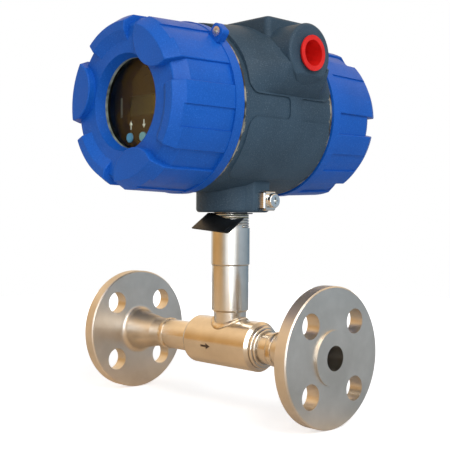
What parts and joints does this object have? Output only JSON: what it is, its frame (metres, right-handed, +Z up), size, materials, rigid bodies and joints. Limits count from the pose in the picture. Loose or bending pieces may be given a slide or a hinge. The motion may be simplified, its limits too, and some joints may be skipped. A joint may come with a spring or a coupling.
{
  "type": "thermal mass flow meter",
  "caption": "Flanged in-line gas flow meter with a stainless neck and a round two-chamber transmitter head with screw covers.",
  "frame": {"origin": "centre of the inlet flange's raised face, on the pipe's axis", "axes": "+X along the flow to the outlet, +Z up along the neck, -Y towards the display's side"},
  "size_m": [0.2032, 0.1954, 0.2602],
  "materials": {
    "stainless": "satin",
    "weld": "bright",
    "sealing_tape": "matte",
    "lead_jacket": "matte",
    "potting": "matte",
    "black_sheet": "matte",
    "case_paint": "fine textured paint",
    "cover_paint": "satin paint",
    "plated_steel": "bright plated",
    "seal_rubber": "matte",
    "gasket": "matte",
    "glass": "clear",
    "black_anodised": "black anodised",
    "bezel_plastic": "matte",
    "fascia_plastic": "satin",
    "screen": "gloss",
    "left_button_plastic": "satin",
    "right_button_plastic": "satin",
    "circuit_board": "satin",
    "terminal_plastic": "matte",
    "red_plastic": "satin"
  },
  "bodies": {
    "meter": {"inlet_flange": "stainless", "outlet_flange": "stainless", "inlet_pipe": "stainless", "outlet_pipe": "stainless", "flow_body": "stainless", "neck_spigot": "stainless", "neck_tube": "stainless", "neck_adapter": "stainless", "sensor_holder": "stainless", "heated_sensor": "stainless", "reference_sensor": "stainless", "inlet_hub_weld": "weld", "outlet_hub_weld": "weld", "inlet_body_weld": "weld", "outlet_body_weld": "weld", "neck_weld": "weld", "thread_tape": "sealing_tape", "sensor_lead": "lead_jacket", "neck_gland": "potting", "tag_plate": "black_sheet", "housing": "case_paint", "port_saddle": "case_paint", "left_port_boss": "case_paint", "right_port_boss": "case_paint", "stem_boss": "case_paint", "display_bezel": "bezel_plastic", "display_fascia": "fascia_plastic", "lcd_panel": "screen", "display_board": "circuit_board", "button_switches": "bezel_plastic", "electronics_module": "potting", "display_posts": "plated_steel", "terminal_posts": "plated_steel", "terminal_board": "circuit_board", "terminal_block": "terminal_plastic", "terminal_screws": "plated_steel", "earth_clamp": "plated_steel", "earth_washer": "plated_steel", "earth_screw": "plated_steel"},
    "front_cover_travel": {"front_cover_seal": "seal_rubber"},
    "front_cover": {"front_cover": "cover_paint", "window_gasket": "gasket", "window_glass": "glass", "glass_ring": "black_anodised", "front_lock_screw": "plated_steel"},
    "rear_cover_travel": {"rear_cover_seal": "seal_rubber"},
    "rear_cover": {"rear_cover": "cover_paint", "rear_lock_screw": "plated_steel"},
    "left_button": {"left_button": "left_button_plastic"},
    "right_button": {"right_button": "right_button_plastic"},
    "left_plug": {"left_port_plug": "red_plastic"},
    "right_plug": {"right_port_plug": "red_plastic"}
  },
  "joints": [
    {"name": "front_cover_travel", "type": "slide", "parent": "meter", "child": "front_cover_travel", "axis": [0, -1, 0], "range_m": [0, 0.01035]},
    {"name": "front_cover_turn", "type": "hinge", "parent": "front_cover_travel", "child": "front_cover", "pos_m": [0.1107, 0, 0.1573], "axis": [0, -1, 0], "range_deg": [0, 2484]},
    {"name": "rear_cover_travel", "type": "slide", "parent": "meter", "child": "rear_cover_travel", "axis": [0, 1, 0], "range_m": [0, 0.01035]},
    {"name": "rear_cover_turn", "type": "hinge", "parent": "rear_cover_travel", "child": "rear_cover", "pos_m": [0.1107, 0, 0.1573], "axis": [0, 1, 0], "range_deg": [0, 2484]},
    {"name": "left_button_press", "type": "slide", "parent": "meter", "child": "left_button", "axis": [0, 1, 0], "range_m": [0, 0.0006], "stiffness_N_per_m": 400},
    {"name": "right_button_press", "type": "slide", "parent": "meter", "child": "right_button", "axis": [0, 1, 0], "range_m": [0, 0.0006], "stiffness_N_per_m": 400},
    {"name": "left_plug_pull", "type": "slide", "parent": "meter", "child": "left_plug", "axis": [-1, 0, 0], "range_m": [0, 0.018]},
    {"name": "right_plug_pull", "type": "slide", "parent": "meter", "child": "right_plug", "axis": [1, 0, 0], "range_m": [0, 0.018]}
  ],
  "couplings": [
    {"joint": "front_cover_travel", "follows": "front_cover_turn", "m_per_rad": 0.00023873},
    {"joint": "rear_cover_travel", "follows": "rear_cover_turn", "m_per_rad": 0.00023873}
  ]
}
